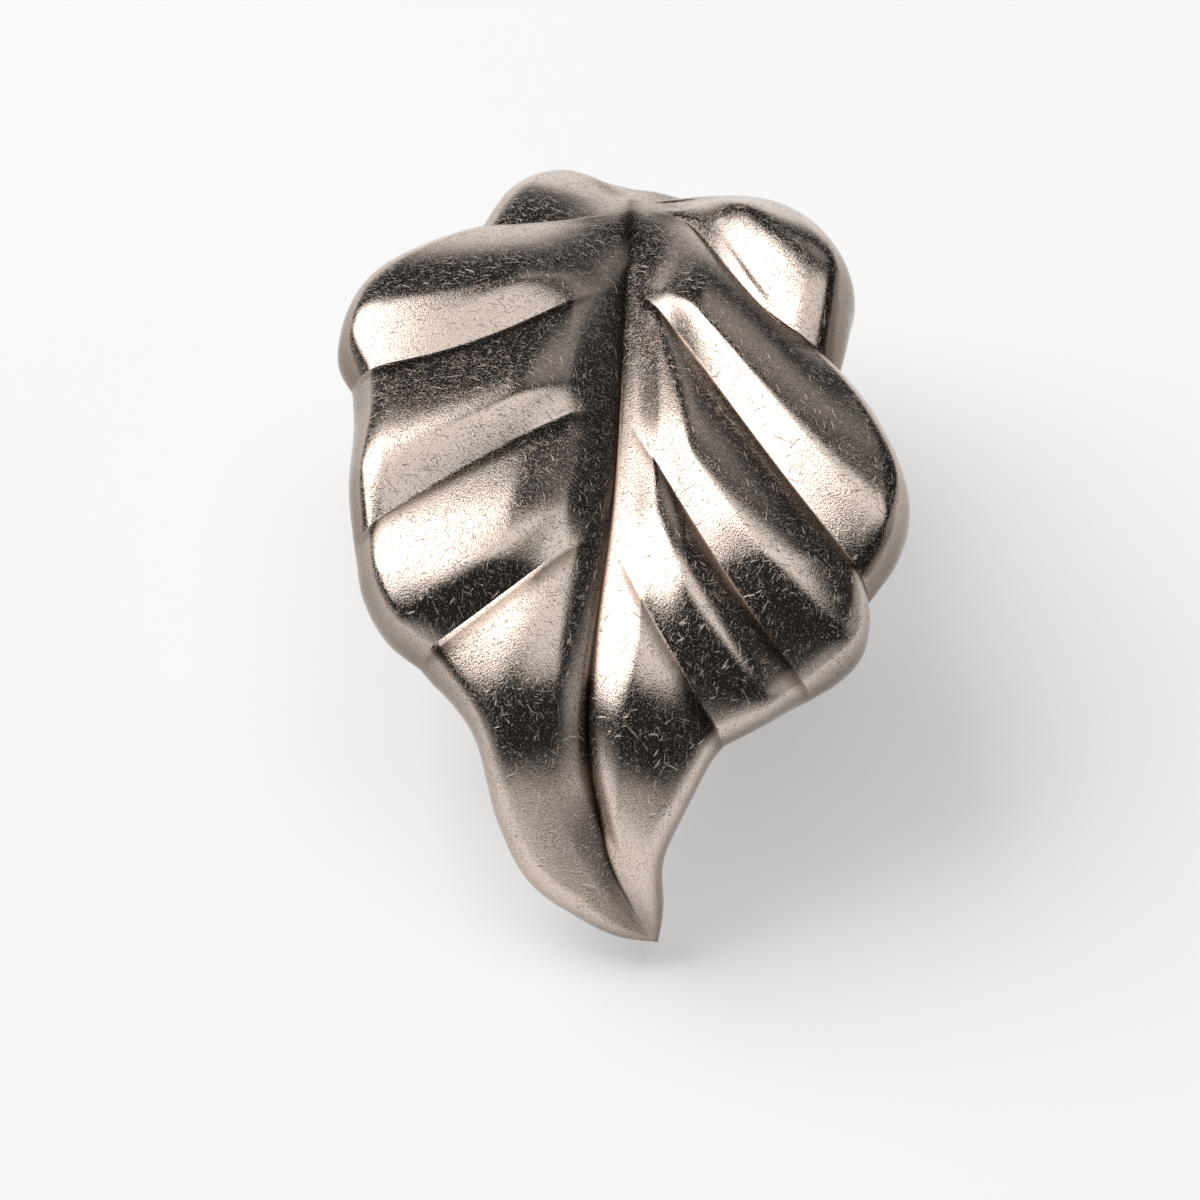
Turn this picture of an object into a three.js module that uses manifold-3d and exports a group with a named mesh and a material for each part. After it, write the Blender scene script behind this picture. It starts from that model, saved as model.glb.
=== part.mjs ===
import * as THREE from "three";
import { mergeVertices } from "three/addons/utils/BufferGeometryUtils.js";
import Module from "manifold-3d";

// Leaf-shaped pull for a cabinet or drawer, cast in one piece: an arched leaf with puffed
// panels between its veins, on a round post whose foot is tapped for the screw.
// Millimetres. Z points away from the door, the tip of the leaf points to -Y, and the
// foot stands on Z = 0 with its axis through the middle of the leaf's footprint.
//
// The leaf is drawn flat first, as if it were pressed: "across" runs to the right and
// "along" runs down the midrib, from the stem end to the tip. Points of the flat leaf are
// shares of its width and length. It is then bent along the arch and bowed across it.

// Flat leaf
const leafLength = 69.1;
const leafWidth = 37.3;

// Arch of the midrib, as tangent arcs from the stem end to the tip (share of the leaf's
// length, turn in degrees)
const stemSlope = -36;
const archArcs = [
  { share: 0.13, turn: 10 },
  { share: 0.217, turn: 22 },
  { share: 0.232, turn: 10 },
  { share: 0.159, turn: 20 },
  { share: 0.101, turn: 34 },
  { share: 0.16, turn: 8 },
];
const tipClearance = 1;

// Bow across the leaf: radius over the blade, tighter on the tail
const bladeBowRadius = 100;
const tailBowRadius = 16;
const tailStart = 0.637;
const tailShare = 0.29;

// Wall: a full-round rim, a low keel under the midrib and a margin that curls down
const rimRadius = 1.1;
const rimRoll = 2.4;
const keelHeight = 0.8;
const keelWidth = 4;
const edgeDrop = 1.3;
const edgeWidth = 3.4;
const shortRayEdge = 0.4;
const shortRayRoll = 0.35;

// Groove of the midrib, with a steep left flank and a long right one
const grooveDepth = 1.3;
const grooveStart = 0.145;
const grooveRunIn = 0.2;
const grooveRunOut = 0.82;
const leftFlankWidth = 4.5;
const leftFlankPower = 1.15;
const rightFlankWidth = 6;
const rightFlankPower = 1.3;
const shortRayFlank = 0.4;

// Panels rise out of the midrib's flanks between these distances from it
const leftFadeStart = 2;
const leftFadeEnd = 9;
const rightFadeStart = 3;
const rightFadeEnd = 9;
const shortRayFade = 0.15;
const ridgeRounding = 0.3;
const panelHeight = 2;

// Post, foot and tapped hole (M4, blind)
const footRadius = 7;
const footThickness = 1.2;
const footEdge = 0.4;
const waistRadius = 5.2;
const waistHeight = 7;
const waistFlare = 0.5;
const rootFillet = 4;
const crownRadius = 8;
const crownDomeRadius = 55;
const postSink = 0.7;
const tapDrillRadius = 1.65;
const tapMouthRadius = 2.2;
const tapDepth = 11;
const drillPointDepth = 1;

// Where the veins leave the midrib
const stations = {
  stem: 0.126,
  shoulder: 0.136,
  first: 0.152,
  second: 0.282,
  third: 0.449,
  fourth: 0.593,
  end: 0.974,
};

// Flat leaf, [across, along]: the midrib, its top on the stem edge, and the tip
const midribPoints = [
  [0.032, stations.stem],
  [0.021, 0.304],
  [0, 0.55],
  [-0.046, 0.774],
  [-0.019, 0.887],
  [0.021, 0.949],
  [0.043, stations.end],
];
const stemEdge = [0.035, 0.067];
const tip = [0.075, 1];

// Each vein leaves the midrib at "from" and ends in a notch of the margin. Its lead points
// steer a cubic curve. The margin after it bulges through "margin" to the next notch. The
// panel between them is "puff" times panelHeight high, and "crest" says where its ridge lies
// between the two veins, at the midrib and at the margin.
const leftVeins = [
  {
    from: stations.stem,
    notch: stemEdge,
    margin: [[-0.027, 0.046], [-0.126, 0.009], [-0.216, 0.082]],
    puff: 0.2,
    crest: [0.6, 0.6],
  },
  {
    from: stations.first,
    leads: [[-0.04, 0.174], [-0.174, 0.188]],
    notch: [-0.265, 0.178],
    margin: [[-0.314, 0.182], [-0.455, 0.256], [-0.497, 0.34]],
    puff: 0.6,
    crest: [0.82, 0.7],
  },
  {
    from: stations.second,
    leads: [[-0.121, 0.333], [-0.241, 0.395]],
    notch: [-0.468, 0.392],
    margin: [[-0.461, 0.45], [-0.464, 0.527]],
    puff: 0.55,
    crest: [0.78, 0.66],
  },
  {
    from: stations.third,
    leads: [[-0.107, 0.47], [-0.282, 0.535]],
    notch: [-0.45, 0.597],
    margin: [[-0.434, 0.65], [-0.396, 0.692]],
    puff: 0.4,
    crest: [0.68, 0.62],
  },
  {
    from: stations.fourth,
    leads: [[-0.08, 0.615], [-0.214, 0.683]],
    notch: [-0.34, 0.721],
    margin: [[-0.247, 0.797], [-0.2, 0.89], [-0.14, 0.953], [-0.02, 0.992]],
    puff: 0.5,
    crest: [0.4, 0.4],
  },
  { from: stations.end, notch: tip },
];
const rightVeins = [
  {
    from: stations.stem,
    notch: stemEdge,
    margin: [[0.097, 0.084]],
    puff: 0.05,
    crest: [0.5, 0.5],
  },
  {
    from: stations.shoulder,
    notch: [0.174, 0.105],
    margin: [[0.255, 0.116], [0.362, 0.156], [0.434, 0.253], [0.426, 0.315]],
    puff: 1.1,
    crest: [0.55, 0.74],
  },
  {
    from: stations.first,
    leads: [[0.201, 0.133], [0.126, 0.311]],
    notch: [0.402, 0.381],
    margin: [[0.475, 0.459], [0.514, 0.543], [0.493, 0.603]],
    puff: 0.75,
    crest: [0.9, 0.77],
  },
  {
    from: stations.second,
    leads: [[0.107, 0.347], [0.241, 0.521]],
    notch: [0.44, 0.652],
    margin: [[0.44, 0.684], [0.417, 0.718]],
    puff: 0.7,
    crest: [0.8, 0.6],
  },
  {
    from: stations.third,
    leads: [[0.094, 0.564], [0.201, 0.673]],
    notch: [0.34, 0.758],
    margin: [[0.263, 0.786]],
    puff: 0.6,
    crest: [0.5, 0.5],
  },
  {
    from: stations.fourth,
    leads: [[0.027, 0.666], [0.121, 0.745]],
    notch: [0.193, 0.81],
    margin: [[0.158, 0.836], [0.093, 0.912], [0.088, 0.967]],
    puff: 0.45,
    crest: [0.4, 0.4],
  },
  { from: stations.end, notch: tip },
];

// Mesh density: rows along the midrib in each stretch, and columns out to the margin
const rowsPerStretch = [5, 11, 12, 12, 12, 18];
const flankColumns = 4;
const bladeColumns = 5;
const rimColumns = 4;
const backColumns = 4;
const backRimColumns = 3;
const midribSteps = 400;
const postSides = 40;
const postSteps = 10;
const weldDistance = 1e-4;

// What differs between the halves beside their veins
const leftSide = {
  flankWidth: leftFlankWidth,
  flankPower: leftFlankPower,
  fadeStart: leftFadeStart,
  fadeEnd: leftFadeEnd,
};
const rightSide = {
  flankWidth: rightFlankWidth,
  flankPower: rightFlankPower,
  fadeStart: rightFadeStart,
  fadeEnd: rightFadeEnd,
};

const toVector = ([across, along]) => new THREE.Vector2(across * leafWidth, along * leafLength);

// Smooth step from 0 to 1
function ease(value) {
  const x = THREE.MathUtils.clamp(value, 0, 1);
  return x * x * (3 - 2 * x);
}

// Quarter round from 0 at the edge to 1 at full width
function quarterRound(value) {
  const x = THREE.MathUtils.clamp(value, 0, 1);
  return Math.sqrt(Math.max(1 - (1 - x) ** 2, 0));
}

// Position and slope of the arch a given way along the midrib, straight on past its last arc
function archAt(along) {
  let y = 0;
  let z = 0;
  let slope = THREE.MathUtils.degToRad(stemSlope);
  let left = along;
  for (const arc of archArcs) {
    const length = arc.share * leafLength;
    const step = Math.min(left, length);
    const turn = (THREE.MathUtils.degToRad(arc.turn) * step) / length;
    const chord = Math.abs(turn) > 0 ? (step * Math.sin(turn / 2)) / (turn / 2) : step;
    y -= chord * Math.cos(slope + turn / 2);
    z -= chord * Math.sin(slope + turn / 2);
    slope += turn;
    left -= step;
  }
  return { y: y - left * Math.cos(slope), z: z - left * Math.sin(slope), slope };
}

// Curvature of the bow across the leaf
function bowAt(along) {
  const tail = THREE.MathUtils.clamp((along / leafLength - tailStart) / tailShare, 0, 1);
  return (1 - tail) / bladeBowRadius + tail / tailBowRadius;
}

// Bends a point of the flat leaf onto the arch and lifts it off the sheet by "lift"
function bend(flat, lift) {
  const arch = archAt(flat.y);
  const bow = bowAt(flat.y);
  const sideTilt = flat.x * bow;
  const upright = lift / Math.hypot(1, sideTilt) - (flat.x * flat.x * bow) / 2;
  return new THREE.Vector3(
    flat.x + (lift * sideTilt) / Math.hypot(1, sideTilt),
    arch.y - upright * Math.sin(arch.slope),
    arch.z + upright * Math.cos(arch.slope),
  );
}

const midrib = new THREE.SplineCurve(midribPoints.map(toVector));
const midribSamples = midrib.getPoints(midribSteps);

// Point of the midrib a given way along the leaf
function midribAt(along) {
  let next = 1;
  while (next < midribSteps && midribSamples[next].y < along) next += 1;
  const before = midribSamples[next - 1];
  const after = midribSamples[next];
  return before.clone().lerp(after, (along - before.y) / (after.y - before.y));
}

// How far a vein's two lead points lie off the straight line from midrib to notch
function leadOffsets(vein) {
  const start = midribAt(vein.from * leafLength);
  const end = toVector(vein.notch);
  return [1 / 3, 2 / 3].map((part, index) => {
    const straight = start.clone().lerp(end, part);
    return vein.leads ? toVector(vein.leads[index]).sub(straight) : new THREE.Vector2();
  });
}

// One half of the leaf: its veins, with the panels and margin curves between them
function makeHalf(veins, side) {
  const panels = veins.slice(0, -1).map((vein, index) => {
    const next = veins[index + 1];
    return {
      start: vein.from * leafLength,
      end: next.from * leafLength,
      leads: [leadOffsets(vein), leadOffsets(next)],
      margin: new THREE.SplineCurve([vein.notch, ...vein.margin, next.notch].map(toVector)),
      puff: vein.puff,
      crest: vein.crest,
    };
  });
  return { panels, side };
}

// The ray that leaves the midrib at "along", between the veins on either side of it
function rayAt(half, along) {
  const panel = half.panels.find(({ end }) => along <= end) ?? half.panels.at(-1);
  const part = THREE.MathUtils.clamp((along - panel.start) / (panel.end - panel.start), 0, 1);
  const start = midribAt(along);
  const end = panel.margin.getPointAt(part);
  const leads = [0, 1].map((index) => {
    const offset = panel.leads[0][index].clone().lerp(panel.leads[1][index], part);
    return start.clone().lerp(end, (index + 1) / 3).add(offset);
  });
  const length = start.distanceTo(end);
  return {
    curve: new THREE.CubicBezierCurve(start, ...leads, end),
    panel,
    part,
    along,
    length,
    side: half.side,
    flank: Math.min(half.side.flankWidth, shortRayFlank * length),
    edge: Math.min(edgeWidth, shortRayEdge * length),
    roll: Math.min(rimRoll, shortRayRoll * length),
    backRoll: Math.min(rimRadius, shortRayRoll * length),
  };
}

// Height of the puffed panels: a roof with a rounded ridge, which fades in from the midrib
function puffHeight(ray, reach) {
  const { panel, part, length, side } = ray;
  const fadeStart = Math.min(side.fadeStart, shortRayFade * length);
  const fadeEnd = Math.min(side.fadeEnd, (1 - shortRayFade) * length);
  const fadeIn = ease((reach - fadeStart) / (fadeEnd - fadeStart));
  const crest = THREE.MathUtils.lerp(...panel.crest, reach / length);
  const fromCrest = part < crest ? (crest - part) / crest : (part - crest) / (1 - crest);
  const fall = Math.hypot(fromCrest, ridgeRounding) - ridgeRounding;
  const height = panelHeight * panel.puff;
  return height * fadeIn * (1 - fall / (Math.hypot(1, ridgeRounding) - ridgeRounding));
}

// Depth of the midrib's groove, "reach" out from it. It runs out towards the end of the midrib.
function grooveAt(ray, reach) {
  const share = ray.along / leafLength;
  const deepening = ease((share - grooveStart) / grooveRunIn);
  const shallowing = 1 - ease((share - grooveRunOut) / (stations.end - grooveRunOut));
  const depth = Math.min(grooveDepth * deepening * shallowing, shortRayRoll * ray.length);
  return depth * Math.max(1 - reach / ray.flank, 0) ** ray.side.flankPower;
}

// How far the margin curls down, "inset" in from the edge of the leaf
function curlAt(ray, inset) {
  const drop = edgeDrop * (ray.edge / edgeWidth) ** 2;
  return drop * Math.max(1 - inset / ray.edge, 0) ** 2;
}

// Height of the face over the sheet, down to nothing round the rim
function faceHeight(ray, reach) {
  const inset = ray.length - reach;
  const height = rimRadius + puffHeight(ray, reach) - grooveAt(ray, reach);
  return height * quarterRound(inset / ray.roll) - curlAt(ray, inset);
}

// Height of the back: below the sheet by the rim's radius, with a low keel under the midrib
function backHeight(ray, reach) {
  const inset = ray.length - reach;
  const keel = keelHeight * Math.exp(-((reach / keelWidth) ** 2));
  return -(rimRadius + keel) * quarterRound(inset / ray.backRoll) - curlAt(ray, inset);
}

// Distances along a ray of the columns on the face: fine on the flank and on the rim
function faceReaches(ray) {
  return [
    ...roundSteps(flankColumns).map((step) => ray.flank * step),
    ...innerSteps(ray.flank, ray.length - ray.roll, bladeColumns),
    ...roundSteps(rimColumns).reverse().map((step) => ray.length - ray.roll * step),
  ];
}

// Distances along a ray of the columns on the back
function backReaches(ray) {
  return [
    0,
    ...innerSteps(0, ray.length - ray.backRoll, backColumns),
    ...roundSteps(backRimColumns).reverse().map((step) => ray.length - ray.backRoll * step),
  ];
}

// Steps from 0 to 1 that close up towards 0, as a quarter round needs
function roundSteps(count) {
  return Array.from({ length: count + 1 }, (unused, index) => 1 - Math.cos((index / count) * (Math.PI / 2)));
}

// The inner steps of an even division
function innerSteps(start, end, count) {
  return Array.from({ length: count - 1 }, (unused, index) =>
    THREE.MathUtils.lerp(start, end, (index + 1) / count));
}

// Rows along the midrib: every vein has one, and they close up towards the steep falls
function makeRows() {
  const ends = Object.values(stations).map((share) => share * leafLength);
  const rows = [ends[0]];
  rowsPerStretch.forEach((count, index) => {
    const isTail = index === rowsPerStretch.length - 1;
    for (let step = 1; step <= count; step += 1) {
      const part = isTail ? step / count : Math.sin(((step / count) * Math.PI) / 2);
      rows.push(THREE.MathUtils.lerp(ends[index], ends[index + 1], part));
    }
  });
  return rows;
}

// Adds one bent surface of a half to the list of triangle corners
function addSurface(corners, half, rows, reachesOf, heightOf, flip) {
  const grid = rows.map((along) => {
    const ray = rayAt(half, along);
    return reachesOf(ray).map((reach) => bend(ray.curve.getPoint(reach / ray.length), heightOf(ray, reach)));
  });
  for (let row = 0; row < grid.length - 1; row += 1) {
    for (let column = 0; column < grid[row].length - 1; column += 1) {
      const [a, b] = [grid[row][column], grid[row][column + 1]];
      const [d, c] = [grid[row + 1][column], grid[row + 1][column + 1]];
      const quad = flip ? [a, b, c, a, c, d] : [a, c, b, a, d, c];
      quad.forEach((corner) => corners.push(corner));
    }
  }
}

// The leaf: face and back of both halves, meeting at the midrib and round the rim
function makeLeaf() {
  const corners = [];
  const rows = makeRows();
  const left = makeHalf(leftVeins, leftSide);
  const right = makeHalf(rightVeins, rightSide);
  addSurface(corners, left, rows, faceReaches, faceHeight, true);
  addSurface(corners, left, rows, backReaches, backHeight, false);
  addSurface(corners, right, rows, faceReaches, faceHeight, false);
  addSurface(corners, right, rows, backReaches, backHeight, true);
  return new THREE.BufferGeometry().setFromPoints(corners);
}

// The shift that centres the leaf's footprint on the post and lifts its tip clear of the door
function seatShift(leaf) {
  leaf.computeBoundingBox();
  const { min, max } = leaf.boundingBox;
  return new THREE.Vector3(-(min.x + max.x) / 2, -(min.y + max.y) / 2, tipClearance - min.z);
}

// Height of the bent sheet over the door where the arch crosses the post's axis
function sheetOverPost(shift) {
  const onAxis = midribSamples.find((point) => archAt(point.y).y + shift.y <= 0);
  return archAt(onAxis.y).z + shift.z;
}

// The post: foot, waist, wide root bowed like the leaf it runs into, and the blind tapped hole
function makePost(topHeight) {
  const rootHeight = topHeight - crownRadius ** 2 / (2 * crownDomeRadius);
  const side = new THREE.SplineCurve([
    new THREE.Vector2(footRadius, footThickness),
    new THREE.Vector2(waistRadius, waistHeight),
    new THREE.Vector2(waistRadius + waistFlare, rootHeight - rootFillet),
    new THREE.Vector2(crownRadius, rootHeight),
  ]);
  const profile = [
    new THREE.Vector2(0, topHeight),
    new THREE.Vector2(crownRadius / 2, topHeight - (crownRadius / 2) ** 2 / (2 * crownDomeRadius)),
    ...side.getPoints(postSteps).reverse(),
    new THREE.Vector2(footRadius, footEdge),
    new THREE.Vector2(footRadius - footEdge, 0),
    new THREE.Vector2(tapMouthRadius, 0),
    new THREE.Vector2(tapDrillRadius, tapMouthRadius - tapDrillRadius),
    new THREE.Vector2(tapDrillRadius, tapDepth),
    new THREE.Vector2(0, tapDepth + drillPointDepth),
  ];
  return new THREE.LatheGeometry(profile.reverse(), postSides).rotateX(Math.PI / 2);
}

const wasm = await Module();
wasm.setup();

// A closed three.js geometry as a solid that can be joined
function toSolid(geometry) {
  geometry.deleteAttribute("normal");
  geometry.deleteAttribute("uv");
  const merged = mergeVertices(geometry, weldDistance);
  return new wasm.Manifold(new wasm.Mesh({
    numProp: 3,
    vertProperties: merged.attributes.position.array,
    triVerts: Uint32Array.from(merged.index.array),
  }));
}

// A solid back as a geometry
function toGeometry(solid) {
  const mesh = solid.getMesh();
  const geometry = new THREE.BufferGeometry();
  geometry.setAttribute("position", new THREE.BufferAttribute(mesh.vertProperties, 3));
  geometry.setIndex(new THREE.BufferAttribute(mesh.triVerts, 1));
  geometry.computeVertexNormals();
  return geometry;
}

const antiqueNickel = new THREE.MeshStandardMaterial({ color: 0xb8aa9c, roughness: 0.3, metalness: 1 });

const leaf = makeLeaf();
const shift = seatShift(leaf);
leaf.translate(shift.x, shift.y, shift.z);
const post = makePost(sheetOverPost(shift) - postSink);

const casting = new THREE.Mesh(toGeometry(toSolid(leaf).add(toSolid(post))), antiqueNickel);
casting.name = "leaf_casting";

const leafPull = new THREE.Group();
leafPull.add(casting);

export default leafPull;
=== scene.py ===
import math

import bmesh
import bpy
import numpy as np
from mathutils import Matrix, Vector, kdtree


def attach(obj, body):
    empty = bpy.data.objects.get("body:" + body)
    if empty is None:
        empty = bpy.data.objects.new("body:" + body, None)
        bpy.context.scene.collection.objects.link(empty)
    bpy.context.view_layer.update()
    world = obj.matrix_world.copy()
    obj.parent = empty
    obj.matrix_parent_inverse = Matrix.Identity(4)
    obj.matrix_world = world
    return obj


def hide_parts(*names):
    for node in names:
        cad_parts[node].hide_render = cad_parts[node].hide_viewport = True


# A leaf-shaped cabinet pull, cast in one piece in zinc and plated in tumbled antique nickel.
# The leaf is drawn flat and bent along its arch, like the casting in the frame, but much finer.
# Shape values are in millimetres and degrees; Blender works in metres.

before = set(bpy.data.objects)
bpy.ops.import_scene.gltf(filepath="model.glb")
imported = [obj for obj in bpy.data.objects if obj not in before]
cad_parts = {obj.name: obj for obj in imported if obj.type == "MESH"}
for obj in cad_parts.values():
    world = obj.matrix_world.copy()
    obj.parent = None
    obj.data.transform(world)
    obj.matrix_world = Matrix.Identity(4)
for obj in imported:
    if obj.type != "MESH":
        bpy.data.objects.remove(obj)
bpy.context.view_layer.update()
mm = 0.001

arch = {
    "leafLength": 69.1,  # of the flat leaf
    "leafWidth": 37.3,
    "stemSlope": -36,
    # each arc's share of the length, and how far it turns
    "arcs": [(0.13, 10), (0.217, 22), (0.232, 10), (0.159, 20), (0.101, 34), (0.16, 8)],
    "tipClearance": 1,
    "bladeBowRadius": 100,
    "tailBowRadius": 16,
    "tailStart": 0.637,
    "tailShare": 0.29,
}

relief = {
    "rimRadius": 1.1,
    "rimRoll": 1.7,  # how far in from the margin the face starts to round over
    "rollShare": 0.35,  # of a short ray, at most
    "keelHeight": 0.8,
    "keelWidth": 4,
    "edgeDrop": 1.3,  # how far the margin curls down
    "edgeWidth": 2.6,
    "edgeShare": 0.4,
    "grooveDepth": 1.3,  # of the midrib
    "grooveShare": 0.35,
    "grooveStart": 0.145,
    "grooveRunIn": 0.2,
    "grooveRunOut": 0.82,
    "leftFlankWidth": 4.5,
    "rightFlankWidth": 6,
    "flankShare": 0.4,
    "leftFlankPower": 1.45,
    "rightFlankPower": 1.3,
    "leftFade": (2, 9),  # the panels rise from nothing between these distances from the midrib
    "rightFade": (2.5, 10.5),
    "fadeShare": 0.15,
    "ridgeRounding": 0.3,
}

# Points of the flat leaf are shares of its width and length
stations = {"stem": 0.126, "shoulder": 0.136, "first": 0.152, "second": 0.282, "third": 0.449,
            "fourth": 0.593, "end": 0.974}
midribPoints = [(0.032, stations["stem"]), (0.021, 0.304), (0, 0.55), (-0.046, 0.774),
                (-0.019, 0.887), (0.021, 0.949), (0.043, stations["end"])]
stemEdge = (0.035, 0.067)
leafTip = (0.075, 1)

# A vein leaves the midrib "at" a station, is steered by its "leads" and ends in a "notch" of the
# margin. "margin", "puff" and "crest" belong to the panel from there to the next vein, and "crest"
# says where the panel's ridge lies between the two, at the midrib and at the margin
leftVeins = [
    {"at": stations["stem"], "notch": stemEdge,
     "margin": [(-0.027, 0.046), (-0.126, 0.009), (-0.216, 0.082)],
     "puff": 0.9, "crest": (0.6, 0.6)},
    {"at": stations["first"], "leads": [(-0.04, 0.174), (-0.174, 0.188)],
     "notch": (-0.265, 0.178), "margin": [(-0.314, 0.182), (-0.455, 0.256), (-0.497, 0.34)],
     "puff": 1.2, "crest": (0.82, 0.7)},
    {"at": stations["second"], "leads": [(-0.121, 0.333), (-0.241, 0.395)],
     "notch": (-0.468, 0.392), "margin": [(-0.461, 0.45), (-0.464, 0.527)],
     "puff": 1.1, "crest": (0.78, 0.66)},
    {"at": stations["third"], "leads": [(-0.107, 0.47), (-0.282, 0.535)],
     "notch": (-0.45, 0.597), "margin": [(-0.434, 0.65), (-0.396, 0.692)],
     "puff": 1.0, "crest": (0.68, 0.76)},
    {"at": stations["fourth"], "leads": [(-0.08, 0.615), (-0.214, 0.683)],
     "notch": (-0.34, 0.721),
     "margin": [(-0.247, 0.797), (-0.2, 0.89), (-0.14, 0.953), (-0.02, 0.992)],
     "puff": 1.0, "crest": (0.4, 0.4)},
    {"at": stations["end"], "notch": leafTip},
]
rightVeins = [
    {"at": stations["stem"], "notch": stemEdge, "margin": [(0.097, 0.084)],
     "puff": 0.1, "crest": (0.5, 0.5)},
    {"at": stations["shoulder"], "notch": (0.174, 0.105),
     "margin": [(0.255, 0.116), (0.362, 0.156), (0.434, 0.253), (0.426, 0.315)],
     "puff": 2.2, "crest": (0.55, 0.74)},
    {"at": stations["first"], "leads": [(0.201, 0.133), (0.126, 0.311)],
     "notch": (0.402, 0.381), "margin": [(0.475, 0.459), (0.514, 0.543), (0.493, 0.603)],
     "puff": 1.5, "crest": (0.9, 0.77)},
    {"at": stations["second"], "leads": [(0.107, 0.347), (0.241, 0.521)],
     "notch": (0.44, 0.652), "margin": [(0.44, 0.684), (0.417, 0.718)],
     "puff": 1.4, "crest": (0.8, 0.6)},
    {"at": stations["third"], "leads": [(0.094, 0.564), (0.201, 0.673)],
     "notch": (0.34, 0.758), "margin": [(0.263, 0.786)],
     "puff": 1.2, "crest": (0.5, 0.5)},
    {"at": stations["fourth"], "leads": [(0.027, 0.666), (0.121, 0.745)],
     "notch": (0.193, 0.81), "margin": [(0.158, 0.836), (0.093, 0.912), (0.088, 0.967)],
     "puff": 0.9, "crest": (0.4, 0.4)},
    {"at": stations["end"], "notch": leafTip},
]

# Short creases cut beside a vein, too small for the frame's own casting. Past its reach from the
# line a crease has faded to nothing
fineCreases = [
    {"points": [(0.186, 0.203), (0.216, 0.243), (0.247, 0.281), (0.287, 0.322)],
     "depth": 0.22, "width": 0.4, "reach": 1},
]

leafMesh = {
    "rowsPerStretch": [16, 44, 44, 44, 44, 64],
    "flankColumns": 22,
    "bladeColumns": 52,
    "rimColumns": 20,
    "backColumns": 18,
    "backRimColumns": 10,
    "midribSteps": 2000,
    "marginSteps": 1200,
    "creaseSteps": 40,
    "mergeDistance": 0.0001,  # points closer than this are one point
    "sharpAngle": 20,  # edges sharper than this stay crisp
}


def ease(value):
    x = np.clip(value, 0, 1)
    return x * x * (3 - 2 * x)


def quarterRound(value):
    x = np.clip(value, 0, 1)
    return np.sqrt(np.maximum(1 - (1 - x) ** 2, 0))


def onLeaf(points):
    return np.array(points, float) * (arch["leafWidth"], arch["leafLength"])


def evenSteps(count, end=1):
    return np.linspace(0, end, count + 1)


def splinePoints(points, parts):
    # the uniform spline that the frame's own outline was drawn with
    knots = np.array(points, float)
    last = len(knots) - 1
    place = np.asarray(parts, float) * last
    low = np.clip(np.floor(place).astype(int), 0, last)
    w = (place - low)[:, None]
    p0 = knots[np.maximum(low - 1, 0)]
    p1 = knots[low]
    p2 = knots[np.minimum(low + 1, last)]
    p3 = knots[np.minimum(low + 2, last)]
    v0 = (p2 - p0) / 2
    v1 = (p3 - p1) / 2
    cubic = 2 * p1 - 2 * p2 + v0 + v1
    square = 3 * p2 - 3 * p1 - 2 * v0 - v1
    return cubic * w ** 3 + square * w ** 2 + v0 * w + p1


def pointsByLength(points, parts):
    line = splinePoints(points, evenSteps(leafMesh["marginSteps"]))
    travelled = np.concatenate([[0], np.cumsum(np.hypot(*np.diff(line, axis=0).T))])
    target = np.asarray(parts) * travelled[-1]
    return np.stack([np.interp(target, travelled, line[:, i]) for i in (0, 1)], -1)


def archAt(along):
    # where a place along the flat leaf comes to lie on the arch, and the arch's slope there
    y = np.zeros_like(along)
    z = np.zeros_like(along)
    slope = np.full_like(along, math.radians(arch["stemSlope"]))
    left = along.copy()
    for share, turnDegrees in arch["arcs"]:
        length = share * arch["leafLength"]
        step = np.minimum(left, length)
        half = np.maximum(math.radians(turnDegrees) * step / length / 2, 1e-9)
        chord = step * np.sin(half) / half
        y -= chord * np.cos(slope + half)
        z -= chord * np.sin(slope + half)
        slope = slope + half * 2
        left = left - step
    return y - left * np.cos(slope), z - left * np.sin(slope), slope


def bend(flat, lift):
    # lays flat points onto the arch, raised by their lift, and bows the sheet down to its sides
    across, along = flat[..., 0], flat[..., 1]
    y, z, slope = archAt(along)
    tail = np.clip((along / arch["leafLength"] - arch["tailStart"]) / arch["tailShare"], 0, 1)
    bow = (1 - tail) / arch["bladeBowRadius"] + tail / arch["tailBowRadius"]
    sideTilt = across * bow
    stretch = np.hypot(1, sideTilt)
    upright = lift / stretch - across ** 2 * bow / 2
    return np.stack([across + lift * sideTilt / stretch,
                     y - upright * np.sin(slope), z + upright * np.cos(slope)], -1)


midribLine = splinePoints(onLeaf(midribPoints), evenSteps(leafMesh["midribSteps"]))


def midribAt(along):
    return np.stack([np.interp(along, midribLine[:, 1], midribLine[:, 0]), along], -1)


def leadOffsets(vein):
    # how far the vein's two leads lie from the thirds of a straight line to its notch
    start = midribAt(np.array(vein["at"] * arch["leafLength"]))
    straight = onLeaf(vein["notch"]) - start
    offsets = np.zeros((2, 2))
    for i, lead in enumerate(vein.get("leads", [])):
        offsets[i] = onLeaf(lead) - (start + straight * (i + 1) / 3)
    return offsets


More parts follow.
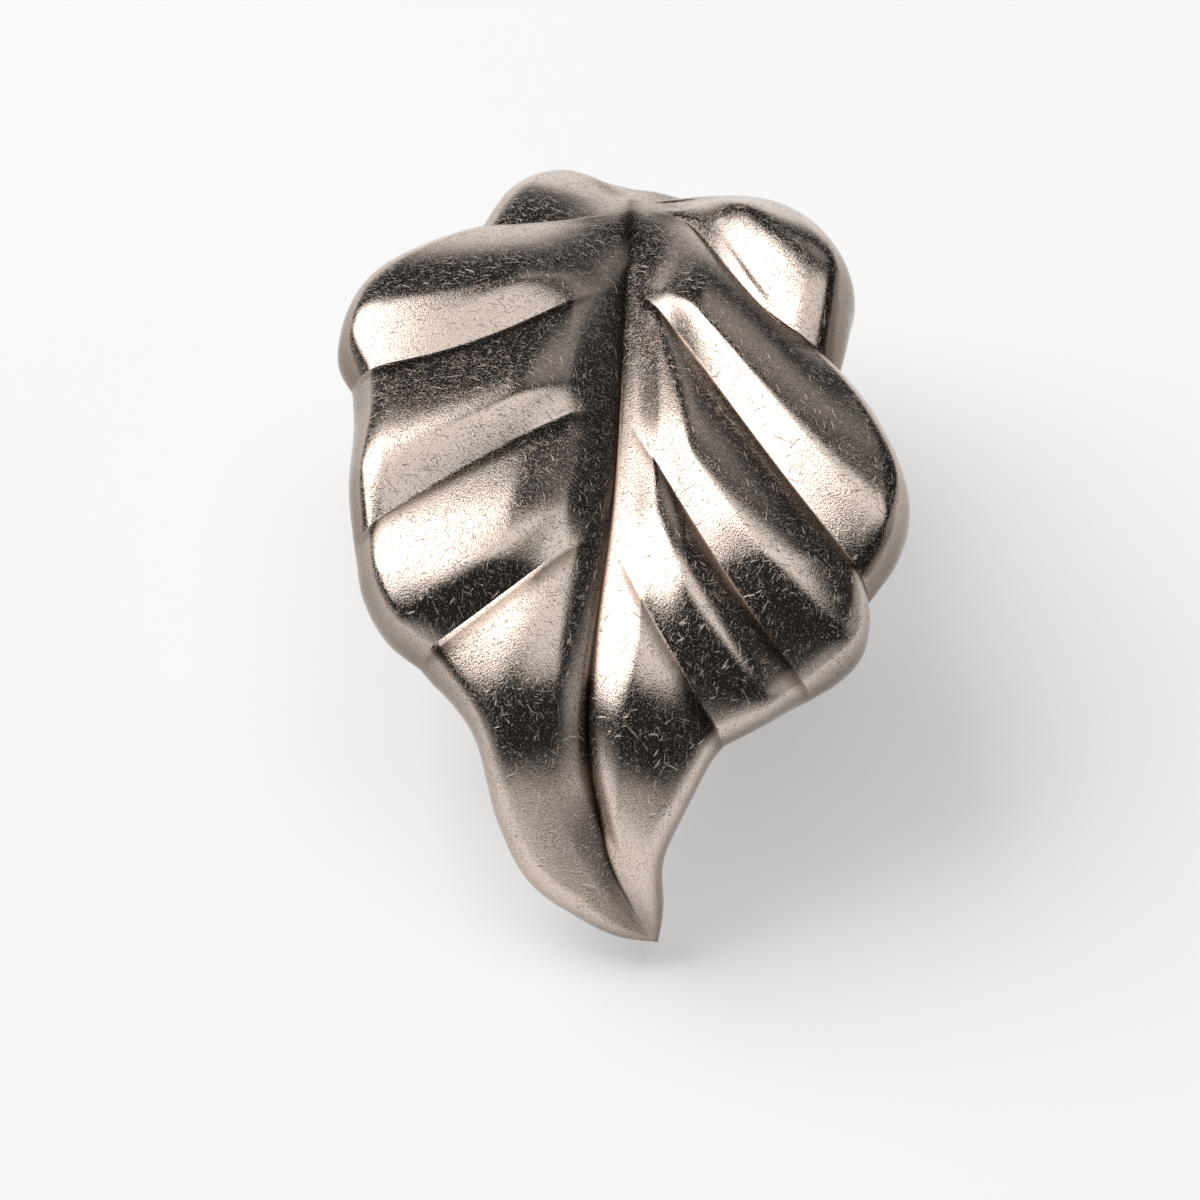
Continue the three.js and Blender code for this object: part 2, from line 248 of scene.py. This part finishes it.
def makeRays(veins, along, isLeft):
    # one ray from the midrib to the margin for each row, steered by the veins on either side
    places = [vein["at"] * arch["leafLength"] for vein in veins]
    panel = np.clip(np.searchsorted(places, along, side="left") - 1, 0, len(veins) - 2)
    lows = np.array(places)[panel]
    highs = np.array(places)[panel + 1]
    part = np.clip((along - lows) / (highs - lows), 0, 1)
    start = midribAt(along)
    end = np.zeros_like(start)
    offsets = np.zeros((len(along), 2, 2))
    # the panel's width at the midrib and at the margin
    spans = np.stack([highs - lows, highs - lows], -1)
    for i, (vein, nextVein) in enumerate(zip(veins, veins[1:])):
        mine = panel == i
        margin = onLeaf([vein["notch"], *vein["margin"], nextVein["notch"]])
        end[mine] = pointsByLength(margin, part[mine])
        spans[mine, 1] = np.hypot(*np.diff(margin, axis=0).T).sum()
        share = part[mine][:, None, None]
        offsets[mine] = leadOffsets(vein) * (1 - share) + leadOffsets(nextVein) * share
    length = np.hypot(*(end - start).T)
    puffs = np.array([vein["puff"] for vein in veins[:-1]])
    crests = np.array([vein["crest"] for vein in veins[:-1]])
    flankWidth = relief["leftFlankWidth" if isLeft else "rightFlankWidth"]
    longestRoll = relief["rollShare"] * length
    return {
        "start": start, "end": end, "offsets": offsets, "spans": spans, "isLeft": isLeft,
        "along": along[:, None], "part": part[:, None], "length": length[:, None],
        "puff": puffs[panel][:, None], "crest": crests[panel],
        "flank": np.minimum(flankWidth, relief["flankShare"] * length)[:, None],
        "roll": np.minimum(relief["rimRoll"], longestRoll)[:, None],
        "backRoll": np.minimum(relief["rimRadius"], longestRoll)[:, None],
    }


def rayPoints(rays, reach):
    t = (reach / rays["length"])[..., None]
    start, end = rays["start"][:, None], rays["end"][:, None]
    lead1 = start + (end - start) / 3 + rays["offsets"][:, None, 0]
    lead2 = start + (end - start) * 2 / 3 + rays["offsets"][:, None, 1]
    nearStart = (1 - t) ** 3 * start + 3 * (1 - t) ** 2 * t * lead1
    return nearStart + 3 * (1 - t) * t ** 2 * lead2 + t ** 3 * end


def puffHeight(rays, reach):
    near, far = relief["leftFade" if rays["isLeft"] else "rightFade"]
    fadeStart = np.minimum(near, relief["fadeShare"] * rays["length"])
    fadeEnd = np.minimum(far, (1 - relief["fadeShare"]) * rays["length"])
    fadeIn = ease((reach - fadeStart) / (fadeEnd - fadeStart))
    # a roof with a rounded ridge: a long rise from one vein and a shorter fall to the next
    part, rounding = rays["part"], relief["ridgeRounding"]
    nearCrest, farCrest = rays["crest"][:, :1], rays["crest"][:, 1:]
    crest = nearCrest + (farCrest - nearCrest) * reach / rays["length"]
    away = np.where(part < crest, (crest - part) / crest, (part - crest) / (1 - crest))
    roof = 1 - (np.hypot(away, rounding) - rounding) / (math.hypot(1, rounding) - rounding)
    return rays["puff"] * fadeIn * roof


def midribDepth(rays, reach):
    share = rays["along"] / arch["leafLength"]
    deepening = ease((share - relief["grooveStart"]) / relief["grooveRunIn"])
    runOut = ease((share - relief["grooveRunOut"]) / (stations["end"] - relief["grooveRunOut"]))
    depth = np.minimum(relief["grooveDepth"] * deepening * (1 - runOut),
                       relief["grooveShare"] * rays["length"])
    away = np.clip(reach / rays["flank"], 0, 1)
    return depth * (1 - away) ** relief["leftFlankPower" if rays["isLeft"] else "rightFlankPower"]


def edgeDrop(rays, reach):
    # the whole sheet curls down towards its margin
    width = np.minimum(relief["edgeWidth"], relief["edgeShare"] * rays["length"])
    drop = relief["edgeDrop"] * (width / relief["edgeWidth"]) ** 2
    return drop * np.maximum(1 - (rays["length"] - reach) / width, 0) ** 2


def creaseDepth(flat):
    depth = np.zeros(flat.shape[:-1])
    for crease in fineCreases:
        line = pointsByLength(onLeaf(crease["points"]), evenSteps(leafMesh["creaseSteps"]))
        # runs out at both ends
        fade = np.sin(evenSteps(leafMesh["creaseSteps"], math.pi)) ** 0.5
        lowest, highest = line.min(0) - crease["reach"], line.max(0) + crease["reach"]
        near = np.all((flat > lowest) & (flat < highest), -1)
        away = np.hypot(*np.moveaxis(flat[near][:, None] - line, -1, 0))
        cut = crease["depth"] * fade * np.exp(-(away / crease["width"]) ** 2)
        depth[near] += cut.max(-1)
    return depth


def faceHeight(rays, reach):
    height = relief["rimRadius"] + puffHeight(rays, reach) - midribDepth(rays, reach)
    height = height - creaseDepth(rayPoints(rays, reach))
    return height * quarterRound((rays["length"] - reach) / rays["roll"]) - edgeDrop(rays, reach)


def backHeight(rays, reach):
    keel = relief["keelHeight"] * np.exp(-(reach / relief["keelWidth"]) ** 2)
    rounded = quarterRound((rays["length"] - reach) / rays["backRoll"])
    return -(relief["rimRadius"] + keel) * rounded - edgeDrop(rays, reach)


def roundSteps(count):
    return 1 - np.cos(evenSteps(count, math.pi / 2))


def faceReaches(rays):
    # how far out along its ray each point of a row lies, closer together where the face turns
    inner = np.arange(1, leafMesh["bladeColumns"]) / leafMesh["bladeColumns"]
    bladeEnd = rays["length"] - rays["roll"]
    return np.concatenate([
        rays["flank"] * roundSteps(leafMesh["flankColumns"]),
        rays["flank"] + (bladeEnd - rays["flank"]) * inner,
        rays["length"] - rays["roll"] * roundSteps(leafMesh["rimColumns"])[::-1],
    ], 1)


def backReaches(rays):
    inner = np.arange(0, leafMesh["backColumns"]) / leafMesh["backColumns"]
    return np.concatenate([
        (rays["length"] - rays["backRoll"]) * inner,
        rays["length"] - rays["backRoll"] * roundSteps(leafMesh["backRimColumns"])[::-1],
    ], 1)


def makeRows():
    ends = [share * arch["leafLength"] for share in stations.values()]
    rows = [ends[0]]
    for i, count in enumerate(leafMesh["rowsPerStretch"]):
        part = np.arange(1, count + 1) / count
        if i < len(leafMesh["rowsPerStretch"]) - 1:
            part = np.sin(part * math.pi / 2)  # rows close up towards the steep falls
        rows.extend(ends[i] + (ends[i + 1] - ends[i]) * part)
    return np.array(rows)


# The plating: where each part of the leaf was darkened, and what the tumbling left of that, and
# the painted shade browning its rim and tip
finish = {
    "brightNickel": "#DFCEC2",
    "patinaAndShadeBrown": "#6E5F53",
    # also the colour of the painted shade at the rim and tip
    "tarnishDark": "#463F39",
    "grainSize": 0.12,  # drawn coarser than the real tumbled grain, which is too fine to show
    "speckRange": (0.56, 0.63),  # of the grain's noise, from bright metal to a dark speck
    "pitRange": (0.57, 0.64),
    "patchSize": 4,
    "patchRange": (0.35, 0.65),
    "patchTarnish": (0.3, 0.9),  # how dark the specks are in the cleanest and dullest patches
    "scratchWidth": 0.09,  # also coarser than real, about 0.03
    "scratchLength": 1.1,
    "scratchRange": (0.7, 0.78),
    "scratchTurns": (0.2, 0.9, 1.5, 2.2, 2.8),  # radians
    "scratchTilt": (0.4, 0.3),
    "roughness": 0.14,
    "speckRoughness": 0.5,
    "bumpDepth": 0.014,
    "hollowWidth": 0.3,
    "hollowFade": 1.6,
    "hollowStart": 1,  # distance from the midrib
    "hollowRunIn": 3,
    "creaseWidth": 0.6,
    "hollowAndShadeDarkening": 0.85,
    # painted shade: the rim and the tip are browned to stand for the shadowed table they reflect
    "rimWidth": 2.4,
    "rimPaintedShade": 1.0,
    "tipStart": 0.88,  # shares of the leaf's length
    "tipFade": 0.09,
    "tipPaintedShade": 0.75,
    "backStain": 0.7,
    "markTolerance": 0.02,  # how far the joining may have moved a point
}


def hollowAndShadeShare(rays, reach):
    # 1 in the hollow just below each vein and in the midrib's crease, which tumbling never
    # reached, and towards the rim and the tip, where it is painted shade
    nearSpan, farSpan = rays["spans"][:, :1], rays["spans"][:, 1:]
    span = nearSpan + (farSpan - nearSpan) * reach / rays["length"]
    belowVein = 1 - ease((rays["part"] * span - finish["hollowWidth"]) / finish["hollowFade"])
    runIn = ease((reach - finish["hollowStart"]) / finish["hollowRunIn"])
    onBlade = rays["along"] > stations["first"] * arch["leafLength"]
    crease = np.exp(-(reach / finish["creaseWidth"]) ** 2)
    # painted shade towards the rim and the tip, darker where they reflect the shadowed table
    fromRim = reach - rays["length"] + finish["rimWidth"]
    rim = finish["rimPaintedShade"] * ease(fromRim / finish["rimWidth"])
    share = rays["along"] / arch["leafLength"]
    tip = finish["tipPaintedShade"] * ease((share - finish["tipStart"]) / finish["tipFade"])
    return np.maximum(np.maximum(belowVein * (runIn * onBlade), crease), np.maximum(rim, tip))


def makeLeafShell():
    # face and back of both halves as grids of points, in millimetres, with their values of hollow
    # patina and of painted shade at the rim and tip
    rows = makeRows()
    grids = []
    hollowsAndShade = []
    for veins, isLeft in ((leftVeins, True), (rightVeins, False)):
        rays = makeRays(veins, rows, isLeft)
        face, back = faceReaches(rays), backReaches(rays)
        grids.append(bend(rayPoints(rays, face), faceHeight(rays, face)))
        grids.append(bend(rayPoints(rays, back), backHeight(rays, back)))
        hollowsAndShade.append(hollowAndShadeShare(rays, face))
        hollowsAndShade.append(np.full_like(back, finish["backStain"]))
    return grids, hollowsAndShade


def allPoints(grids):
    return np.concatenate([grid.reshape(-1, 3) for grid in grids])


def meshFromGrids(name, grids):
    quads = []
    first = 0
    for grid in grids:
        rowCount, columnCount = grid.shape[:2]
        index = first + np.arange(rowCount * columnCount).reshape(rowCount, columnCount)
        corners = [index[:-1, :-1], index[:-1, 1:], index[1:, 1:], index[1:, :-1]]
        quads.append(np.stack(corners, -1).reshape(-1, 4))
        first += rowCount * columnCount
    mesh = bpy.data.meshes.new(name)
    mesh.from_pydata((allPoints(grids) * mm).tolist(), [], np.concatenate(quads).tolist())
    cleanMesh(mesh)
    return mesh


def cleanMesh(mesh):
    mergeDistance = leafMesh["mergeDistance"] * mm
    work = bmesh.new()
    work.from_mesh(mesh)
    bmesh.ops.remove_doubles(work, verts=work.verts, dist=mergeDistance)
    bmesh.ops.dissolve_degenerate(work, dist=mergeDistance, edges=work.edges)
    bmesh.ops.recalc_face_normals(work, faces=work.faces)
    work.to_mesh(mesh)
    work.free()


def shadeRound(mesh):
    sharpAngle = math.radians(leafMesh["sharpAngle"])
    work = bmesh.new()
    work.from_mesh(mesh)
    for face in work.faces:
        face.smooth = True
    for edge in work.edges:
        if len(edge.link_faces) == 2 and edge.calc_face_angle(0) > sharpAngle:
            edge.smooth = False
    work.to_mesh(mesh)
    work.free()


def markHollowsAndShade(mesh, grids, hollowsAndShade):
    # gives each point of the joined casting the value of hollow patina and painted shade of the
    # leaf point it came from
    points = allPoints(grids) * mm
    values = np.concatenate([hollowAndShade.reshape(-1) for hollowAndShade in hollowsAndShade])
    tree = kdtree.KDTree(len(points))
    for i, point in enumerate(points):
        tree.insert(point, i)
    tree.balance()
    marked = np.full(len(mesh.vertices), finish["backStain"], np.float32)
    for i, vertex in enumerate(mesh.vertices):
        _, nearest, distance = tree.find(vertex.co)
        if distance < finish["markTolerance"] * mm:
            marked[i] = values[nearest]
    mesh.attributes.new("hollowAndShade", "FLOAT", "POINT").data.foreach_set("value", marked)


def addObject(name, data):
    item = bpy.data.objects.new(name, data)
    bpy.context.scene.collection.objects.link(item)
    return item


def addNode(tree, kind, settings=None, links=None):
    # a setting names a property of the node, or else one of its inputs by name or number
    node = tree.nodes.new(kind)
    for key, value in (settings or {}).items():
        if isinstance(key, str) and hasattr(node, key):
            setattr(node, key, value)
        else:
            node.inputs[key].default_value = value
    for key, source in (links or {}).items():
        tree.links.new(source, node.inputs[key])
    return node


def hexColour(text):
    # sRGB hex to the linear values that shaders take
    channels = [int(text[i:i + 2], 16) / 255 for i in (1, 3, 5)]
    return tuple(c / 12.92 if c <= 0.04045 else ((c + 0.055) / 1.055) ** 2.4
                 for c in channels) + (1.0,)


def newMaterial(name):
    material = bpy.data.materials.new(name)
    material.use_nodes = True
    tree = material.node_tree
    tree.nodes.clear()
    return material, tree


def tumbledAntiqueNickel():
    # nickel plate darkened in a bath, then tumbled: bright, softly scratched high spots
    # peppered with dark specks, and smooth brown hollows that the media never reached
    material, tree = newMaterial("tumbledAntiqueNickel")
    coords = addNode(tree, "ShaderNodeTexCoord")
    hollowAndShade = addNode(tree, "ShaderNodeAttribute", {"attribute_name": "hollowAndShade"})
    reached = addNode(tree, "ShaderNodeMath", {"operation": "SUBTRACT", 0: 1.0, "use_clamp": True},
                      {1: hollowAndShade.outputs["Fac"]})

    # tarnish stays as specks, more of it in some patches than in others
    grain = addNode(tree, "ShaderNodeTexNoise",
                    {"Scale": 1 / (finish["grainSize"] * mm), "Detail": 3.0, "Roughness": 0.6},
                    {"Vector": coords.outputs["Object"]})
    patch = addNode(tree, "ShaderNodeTexNoise",
                    {"Scale": 1 / (finish["patchSize"] * mm), "Detail": 3.0, "Roughness": 0.6},
                    {"Vector": coords.outputs["Object"]})
    specks = addNode(tree, "ShaderNodeMapRange",
                     {"From Min": finish["speckRange"][0], "From Max": finish["speckRange"][1]},
                     {"Value": grain.outputs["Fac"]})
    patches = addNode(tree, "ShaderNodeMapRange",
                      {"From Min": finish["patchRange"][0], "From Max": finish["patchRange"][1],
                       "To Min": finish["patchTarnish"][0], "To Max": finish["patchTarnish"][1]},
                      {"Value": patch.outputs["Fac"]})
    tarnish = addNode(tree, "ShaderNodeMath", {"operation": "MULTIPLY"},
                      {0: specks.outputs["Result"], 1: patches.outputs["Result"]})
    specked = addNode(tree, "ShaderNodeMix",
                      {"data_type": "RGBA", 6: hexColour(finish["brightNickel"]),
                       7: hexColour(finish["tarnishDark"])}, {0: tarnish.outputs[0]})
    # browns the hollows with patina, and the rim and the tip with painted shade
    brown = addNode(tree, "ShaderNodeMath", {"operation": "MULTIPLY", 1: finish["hollowAndShadeDarkening"]},
                    {0: hollowAndShade.outputs["Fac"]})
    colour = addNode(tree, "ShaderNodeMix",
                     {"data_type": "RGBA", 7: hexColour(finish["patinaAndShadeBrown"])},
                     {0: brown.outputs[0], 6: specked.outputs[2]})

    # each direction of scratches is a noise squeezed across and drawn out along that direction
    allCuts = None
    for turn in finish["scratchTurns"]:
        turned = addNode(tree, "ShaderNodeMapping",
                         {"vector_type": "TEXTURE", "Location": (turn * mm, 0, 0),
                          "Rotation": (*finish["scratchTilt"], turn),
                          "Scale": (finish["scratchWidth"] * mm, finish["scratchLength"] * mm,
                                    finish["scratchLength"] * mm)},
                         {"Vector": coords.outputs["Object"]})
        lines = addNode(tree, "ShaderNodeTexNoise",
                        {"Scale": 1.0, "Detail": 1.0, "Distortion": 0.3},
                        {"Vector": turned.outputs["Vector"]})
        cut = addNode(tree, "ShaderNodeMapRange",
                      {"From Min": finish["scratchRange"][0],
                       "From Max": finish["scratchRange"][1]}, {"Value": lines.outputs["Fac"]})
        if allCuts is None:
            allCuts = cut.outputs["Result"]
        else:
            allCuts = addNode(tree, "ShaderNodeMath", {"operation": "MAXIMUM"},
                              {0: allCuts, 1: cut.outputs["Result"]}).outputs[0]
    both = addNode(tree, "ShaderNodeMath", {"operation": "ADD"},
                   {0: grain.outputs["Fac"], 1: allCuts})
    cutIn = addNode(tree, "ShaderNodeMath", {"operation": "MULTIPLY"},
                    {0: both.outputs[0], 1: reached.outputs[0]})
    bump = addNode(tree, "ShaderNodeBump",
                   {"Strength": 1.0, "Distance": finish["bumpDepth"] * mm, "invert": True},
                   {"Height": cutIn.outputs[0]})

    # pits and scratches are duller than the polish between them
    channels = addNode(tree, "ShaderNodeSeparateColor", None, {0: grain.outputs["Color"]})
    pits = addNode(tree, "ShaderNodeMapRange",
                   {"From Min": finish["pitRange"][0], "From Max": finish["pitRange"][1]},
                   {"Value": channels.outputs[1]})
    dull = addNode(tree, "ShaderNodeMath", {"operation": "MAXIMUM"},
                   {0: pits.outputs["Result"], 1: allCuts})
    roughness = addNode(tree, "ShaderNodeMapRange",
                        {"To Min": finish["roughness"], "To Max": finish["speckRoughness"]},
                        {"Value": dull.outputs[0]})
    shader = addNode(tree, "ShaderNodeBsdfPrincipled", {"Metallic": 1.0},
                     {"Base Color": colour.outputs[2], "Roughness": roughness.outputs["Result"],
                      "Normal": bump.outputs["Normal"]})
    addNode(tree, "ShaderNodeOutputMaterial", None, {"Surface": shader.outputs[0]})
    return material


# Post with a bored foot, turned round the Z axis
post = {
    "footRadius": 7,
    "footThickness": 1.2,
    "footEdge": 0.4,
    "waistRadius": 5.2,
    "waistHeight": 7,
    "waistFlare": 0.5,
    "rootFillet": 4,
    "crownRadius": 8,
    "crownDomeRadius": 55,
    "sink": 0.7,  # below the middle of the leaf's sheet
    "boreRadius": 2.0,
    "mouthRadius": 2.3,
    "boreDepth": 11,
    "drillPoint": 1,
    "sides": 128,
    "steps": 40,
}


def makePostGrid(topHeight):
    rootHeight = topHeight - post["crownRadius"] ** 2 / (2 * post["crownDomeRadius"])
    side = splinePoints([
        (post["footRadius"], post["footThickness"]),
        (post["waistRadius"], post["waistHeight"]),
        (post["waistRadius"] + post["waistFlare"], rootHeight - post["rootFillet"]),
        (post["crownRadius"], rootHeight),
    ], evenSteps(post["steps"]))
    chamfer = post["mouthRadius"] - post["boreRadius"]
    halfCrown = post["crownRadius"] / 2
    profile = [
        (0, post["boreDepth"] + post["drillPoint"]),
        (post["boreRadius"], post["boreDepth"]),
        (post["boreRadius"], chamfer),
        (post["mouthRadius"], 0),
        (post["footRadius"] - post["footEdge"], 0),
        (post["footRadius"], post["footEdge"]),
        *side.tolist(),
        (halfCrown, topHeight - halfCrown ** 2 / (2 * post["crownDomeRadius"])),
        (0, topHeight),
    ]
    radius, height = np.array(profile).T
    angle = evenSteps(post["sides"], 2 * math.pi)
    return np.stack([radius[:, None] * np.cos(angle), radius[:, None] * np.sin(angle),
                     np.broadcast_to(height[:, None], (len(radius), len(angle)))], -1)


# Thread of the bore, for an M4 furniture screw
thread = {
    "pitch": 0.7,
    "ridge": 0.33,
    "ridgeCorners": 4,
    "start": 0.7,
    "turns": 13.0,
    "stepsPerTurn": 40,
}


def threadNodes():
    # a helix on the bore's wall, swept with a ridge whose outer half sinks into the metal
    group = bpy.data.node_groups.new("tappedThread", "GeometryNodeTree")
    group.interface.new_socket(name="Geometry", in_out="OUTPUT",
                               socket_type="NodeSocketGeometry")
    for name, kind in (("Bore Radius", "Float"), ("Pitch", "Float"), ("Ridge", "Float"),
                       ("Turns", "Float"), ("Start", "Vector"), ("Metal", "Material")):
        group.interface.new_socket(name=name, in_out="INPUT", socket_type="NodeSocket" + kind)
    given = addNode(group, "NodeGroupInput").outputs
    height = addNode(group, "ShaderNodeMath", {"operation": "MULTIPLY"},
                     {0: given["Pitch"], 1: given["Turns"]})
    helix = addNode(group, "GeometryNodeCurveSpiral", {"Resolution": thread["stepsPerTurn"]},
                    {"Rotations": given["Turns"], "Start Radius": given["Bore Radius"],
                     "End Radius": given["Bore Radius"], "Height": height.outputs[0]})
    upright = addNode(group, "GeometryNodeSetCurveNormal", {"mode": "Z_UP"},
                      {"Curve": helix.outputs["Curve"]})
    ridge = addNode(group, "GeometryNodeCurvePrimitiveCircle",
                    {"mode": "RADIUS", "Resolution": thread["ridgeCorners"]},
                    {"Radius": given["Ridge"]})
    swept = addNode(group, "GeometryNodeCurveToMesh", {"Fill Caps": True},
                    {"Curve": upright.outputs["Curve"], "Profile Curve": ridge.outputs["Curve"]})
    placed = addNode(group, "GeometryNodeTransform", None,
                     {"Geometry": swept.outputs["Mesh"], "Translation": given["Start"]})
    real = addNode(group, "GeometryNodeRealizeInstances", None,
                   {"Geometry": placed.outputs["Geometry"]})
    painted = addNode(group, "GeometryNodeSetMaterial", None,
                      {"Geometry": real.outputs["Geometry"], "Material": given["Metal"]})
    addNode(group, "NodeGroupOutput", None, {"Geometry": painted.outputs["Geometry"]})
    return group


def finishedMesh(item):
    bpy.context.view_layer.update()
    return bpy.data.meshes.new_from_object(
        item.evaluated_get(bpy.context.evaluated_depsgraph_get()))


def makeThread(metal):
    holder = addObject("threadHolder", bpy.data.meshes.new("threadHolder"))
    tap = holder.modifiers.new("tapThread", "NODES")
    tap.node_group = threadNodes()
    values = {"Bore Radius": post["boreRadius"] * mm, "Pitch": thread["pitch"] * mm,
              "Ridge": thread["ridge"] * mm, "Turns": thread["turns"],
              "Start": (0, 0, thread["start"] * mm), "Metal": metal}
    for item in tap.node_group.interface.items_tree:
        if item.item_type == "SOCKET" and item.in_out == "INPUT":
            tap[item.identifier] = values[item.name]
    mesh = finishedMesh(holder)
    holder.modifiers.clear()
    bpy.data.objects.remove(holder)
    cleanMesh(mesh)
    return mesh


print("leaf: drawing and bending the shell")
grids, hollowsAndShade = makeLeafShell()
lowest, highest = allPoints(grids).min(0), allPoints(grids).max(0)
seat = np.array([-(lowest[0] + highest[0]) / 2, -(lowest[1] + highest[1]) / 2,
                 arch["tipClearance"] - lowest[2]])
grids = [grid + seat for grid in grids]
leafObject = addObject("leafShell", meshFromGrids("leafShell", grids))

print("post: turning it up to the back of the leaf")
alongArch = evenSteps(leafMesh["midribSteps"], stations["end"] * arch["leafLength"])
archY, archZ, _ = archAt(alongArch)
overPost = int(np.argmax(archY + seat[1] <= 0))
sheetOverPost = float(archZ[overPost] + seat[2])
postGrid = makePostGrid(sheetOverPost - post["sink"])
postObject = addObject("postShell", meshFromGrids("postShell", [postGrid]))

print("thread: winding it for the post's bore")
nickel = tumbledAntiqueNickel()
threadObject = addObject("threadRidge", makeThread(nickel))

print("casting: joining leaf, post and thread")
for part in (postObject, threadObject):
    union = leafObject.modifiers.new("join" + part.name, "BOOLEAN")
    union.operation = "UNION"
    union.solver = "EXACT"
    union.object = part
joined = finishedMesh(leafObject)
joined.name = "leafPull"
leafPull = addObject("leafPull", joined)
for used in (leafObject, postObject, threadObject):
    bpy.data.objects.remove(used)

print("finish: marking the hollows and plating the casting")
shadeRound(joined)
# the marks carry the hollows' patina and the painted shade at the rim and tip
markHollowsAndShade(joined, grids, hollowsAndShade)
joined.materials.clear()
joined.materials.append(nickel)

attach(leafPull, "root")
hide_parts("leaf_casting")

# Studio: a pale table in a dark room, with soft boxes overhead
studio = {
    "tableColour": "#F6F6F6",
    "tableSize": 4.0,  # metres
    "tableGap": 0.02,  # keeps the foot's flat end from flickering through the table
    "tableLift": 0.39,
    "roomLevel": 0.022,
    "horizonLevel": 0.42,
    "horizonRise": 0.3,
    "horizonLean": 0.15,  # the glow along the horizon reaches higher in front than behind
    "lampDistance": 2.0,  # metres
    "elevation": 50,
    "lens": 135,
    "cameraDistance": 297,
    "target": (-1.25, -5.61, 7.80),
}
softBoxes = [
    # name, degrees to the right of straight up and to the back, width and depth in degrees, level
    ("leftSoftBox", -40, 21, 52, 50, 2.7),
    ("ceiling", 11, 7, 42, 42, 0.95),
    ("rightSoftBox", 74, 10, 22, 60, 0.35),
    ("backPanel", 16, 54, 20, 18, 0.34),
]


def paleTable():
    # painted board: matt and even, with nothing for the eye but the casting's shadow
    material, tree = newMaterial("paleTable")
    colour = hexColour(studio["tableColour"])
    shader = addNode(tree, "ShaderNodeBsdfPrincipled",
                     {"Roughness": 0.9, "Base Color": colour, "Specular IOR Level": 0.0})
    # lifted towards white for the camera and for the metal alone, with the shadow kept
    seen = addNode(tree, "ShaderNodeLightPath")
    either = addNode(tree, "ShaderNodeMath", {"operation": "MAXIMUM"},
                     {0: seen.outputs["Is Camera Ray"], 1: seen.outputs["Is Glossy Ray"]})
    lift = addNode(tree, "ShaderNodeMath", {"operation": "MULTIPLY", 1: studio["tableLift"]},
                   {0: either.outputs[0]})
    glow = addNode(tree, "ShaderNodeEmission", {"Color": colour}, {"Strength": lift.outputs[0]})
    both = addNode(tree, "ShaderNodeAddShader", None, {0: shader.outputs[0], 1: glow.outputs[0]})
    addNode(tree, "ShaderNodeOutputMaterial", None, {"Surface": both.outputs[0]})
    return material


def buildTable():
    half, low = studio["tableSize"] / 2, -studio["tableGap"] * mm
    mesh = bpy.data.meshes.new("table")
    mesh.from_pydata([(-half, -half, low), (half, -half, low), (half, half, low),
                      (-half, half, low)], [], [(0, 1, 2, 3)])
    mesh.materials.append(paleTable())
    addObject("table", mesh)


def buildRoom():
    # pale behind the table for the camera, a dark room with a glow round its foot for the metal
    world = bpy.data.worlds.new("darkRoom")
    world.use_nodes = True
    tree = world.node_tree
    tree.nodes.clear()
    seen = addNode(tree, "ShaderNodeLightPath")
    coords = addNode(tree, "ShaderNodeTexCoord")
    split = addNode(tree, "ShaderNodeSeparateXYZ", None, {0: coords.outputs["Generated"]})
    leaned = addNode(tree, "ShaderNodeMath",
                     {"operation": "MULTIPLY_ADD", 1: studio["horizonLean"]},
                     {0: split.outputs["Y"], 2: split.outputs["Z"]})
    glow = addNode(tree, "ShaderNodeMapRange",
                   {"interpolation_type": "SMOOTHSTEP", "From Min": 0.0,
                    "From Max": studio["horizonRise"], "To Min": studio["horizonLevel"],
                    "To Max": studio["roomLevel"]}, {"Value": leaned.outputs[0]})
    level = addNode(tree, "ShaderNodeMix", {"data_type": "FLOAT", "B": 1.0},
                    {"Factor": seen.outputs["Is Camera Ray"], "A": glow.outputs["Result"]})
    room = addNode(tree, "ShaderNodeBackground", {"Color": hexColour(studio["tableColour"])},
                   {"Strength": level.outputs[0]})
    addNode(tree, "ShaderNodeOutputWorld", None, {"Surface": room.outputs[0]})
    bpy.context.scene.world = world


def buildLamps():
    distance = studio["lampDistance"]
    for name, side, back, wide, deep, level in softBoxes:
        lean = math.radians(math.hypot(side, back))
        turn = math.atan2(back, side)
        direction = Vector((math.sin(lean) * math.cos(turn), math.sin(lean) * math.sin(turn),
                            math.cos(lean)))
        lamp = bpy.data.lights.new(name, "AREA")
        lamp.shape = "RECTANGLE"
        lamp.size = 2 * distance * math.tan(math.radians(wide / 2))
        lamp.size_y = 2 * distance * math.tan(math.radians(deep / 2))
        lamp.energy = level * math.pi * lamp.size * lamp.size_y
        item = addObject(name, lamp)
        item.location = direction * distance
        # the lamp's width lies along the room's X axis
        across = (Vector((1, 0, 0)) - direction * direction.x).normalized()
        axes = Matrix((across, direction.cross(across), direction)).transposed()
        item.rotation_euler = axes.to_euler()


def buildCamera():
    tilt = math.radians(studio["elevation"])
    camera = bpy.data.cameras.new("productCamera")
    camera.lens = studio["lens"]
    camera.sensor_width = 36
    camera.clip_start = 0.01
    camera.clip_end = 20
    item = addObject("productCamera", camera)
    away = Vector((0, -math.cos(tilt), math.sin(tilt)))
    item.location = (Vector(studio["target"]) + away * studio["cameraDistance"]) * mm
    item.rotation_euler = away.to_track_quat("Z", "Y").to_euler()
    bpy.context.scene.camera = item


print("studio: table, room, soft boxes and camera")
buildTable()
buildRoom()
buildLamps()
buildCamera()
bpy.context.scene.view_settings.view_transform = "Standard"
